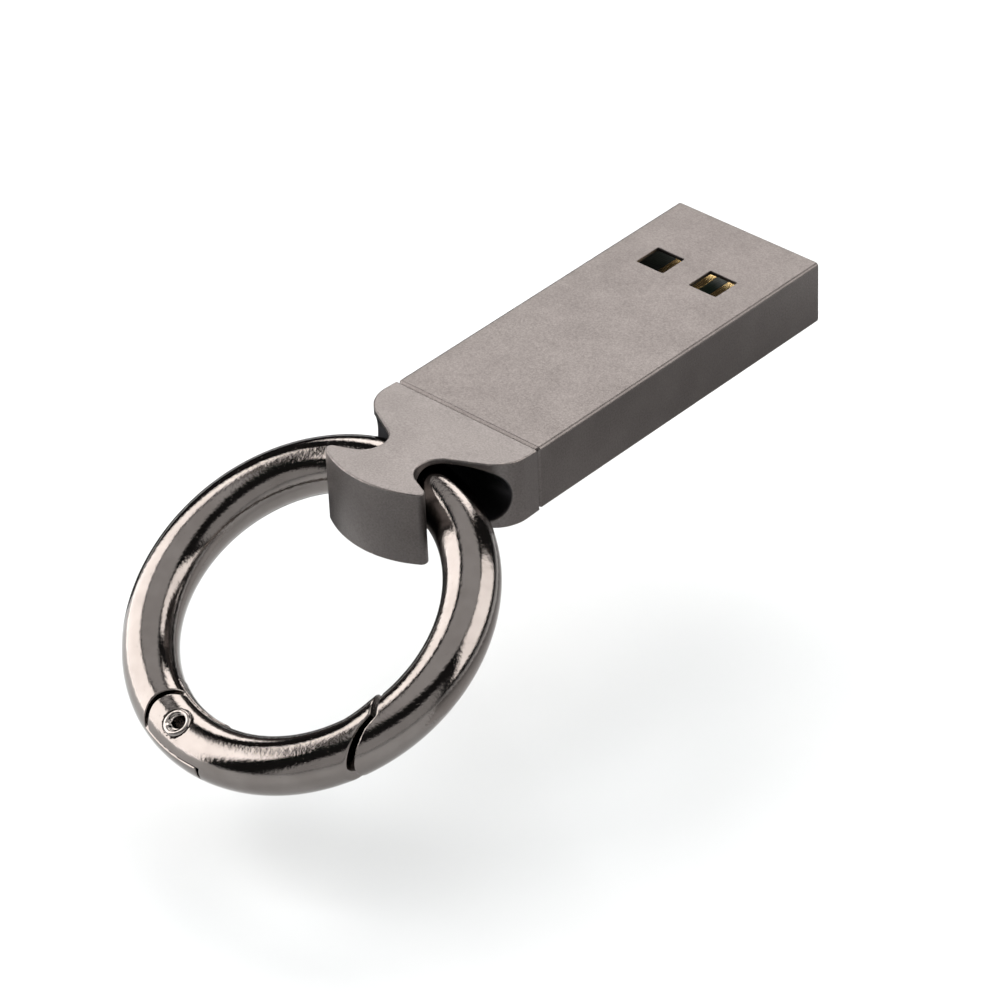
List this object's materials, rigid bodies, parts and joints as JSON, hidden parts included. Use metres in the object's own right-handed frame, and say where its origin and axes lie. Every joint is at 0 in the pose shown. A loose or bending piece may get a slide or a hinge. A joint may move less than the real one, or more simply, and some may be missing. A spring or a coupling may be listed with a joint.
{
  "type": "usb flash drive",
  "caption": "Slim metal USB-A flash drive: rectangular sleeve that is also the plug, fishtail end block with a cross hole, and a hinged spring-gate ring.",
  "frame": {"origin": "centre of the plug's open front end, on the sleeve's middle plane", "axes": "+Y is the insertion direction, out of the plug; +Z is the side that the contacts face; +X is the drive's width"},
  "size_m": [0.025, 0.053, 0.0148],
  "materials": {
    "satin_metal": "bead-blasted satin gunmetal",
    "black_nickel": "polished black nickel plate",
    "rivet_nickel": "polished black nickel plate",
    "spring_steel": "drawn spring steel",
    "black_plastic": "moulded matt black",
    "epoxy": "moulded epoxy",
    "board": "solder mask",
    "gold": "gold plate",
    "silicon": "polished silicon",
    "film": "die-attach film",
    "ceramic": "fired ceramic",
    "adhesive": "cured epoxy adhesive",
    "tape": "double-sided tape"
  },
  "bodies": {
    "drive": {"plug_sleeve": "satin_metal", "tail_block": "satin_metal", "tail_adhesive": "adhesive", "carrier_tray": "black_plastic", "cavity_stop": "black_plastic", "module_tape": "tape", "mould_body": "epoxy", "substrate_board": "board", "controller_die": "silicon", "nand_die_lower": "silicon", "nand_die_upper": "silicon", "die_films": "film", "bond_wires": "gold", "passives": "ceramic", "test_pads": "gold", "contact_vbus": "gold", "contact_d_minus": "gold", "contact_d_plus": "gold", "contact_gnd": "gold"},
    "ring": {"ring_body": "black_nickel"},
    "gate": {"ring_gate": "black_nickel", "hinge_rivet": "rivet_nickel", "gate_spring": "spring_steel"},
    "plunger": {"spring_plunger": "spring_steel"}
  },
  "joints": [
    {"name": "ring_swing", "type": "hinge", "parent": "drive", "child": "ring", "pos_m": [0, -0.0323, 0], "axis": [1, 0, 0], "range_deg": [-73, 17]},
    {"name": "gate_pivot", "type": "hinge", "parent": "ring", "child": "gate", "pos_m": [-0.00217, -0.05107, -0.00998], "axis": [0, -0.4695, 0.8829], "range_deg": [0, 30], "stiffness_Nm_per_rad": 0.002, "springref_deg": -34.38, "deforming": ["gate_spring"]},
    {"name": "plunger_slide", "type": "slide", "parent": "gate", "child": "plunger", "axis": [0.9863, -0.1457, -0.0775], "range_m": [0, 0.00062]}
  ],
  "couplings": [
    {"joint": "plunger_slide", "follows": "gate_pivot", "m_per_rad": 0.00118}
  ]
}
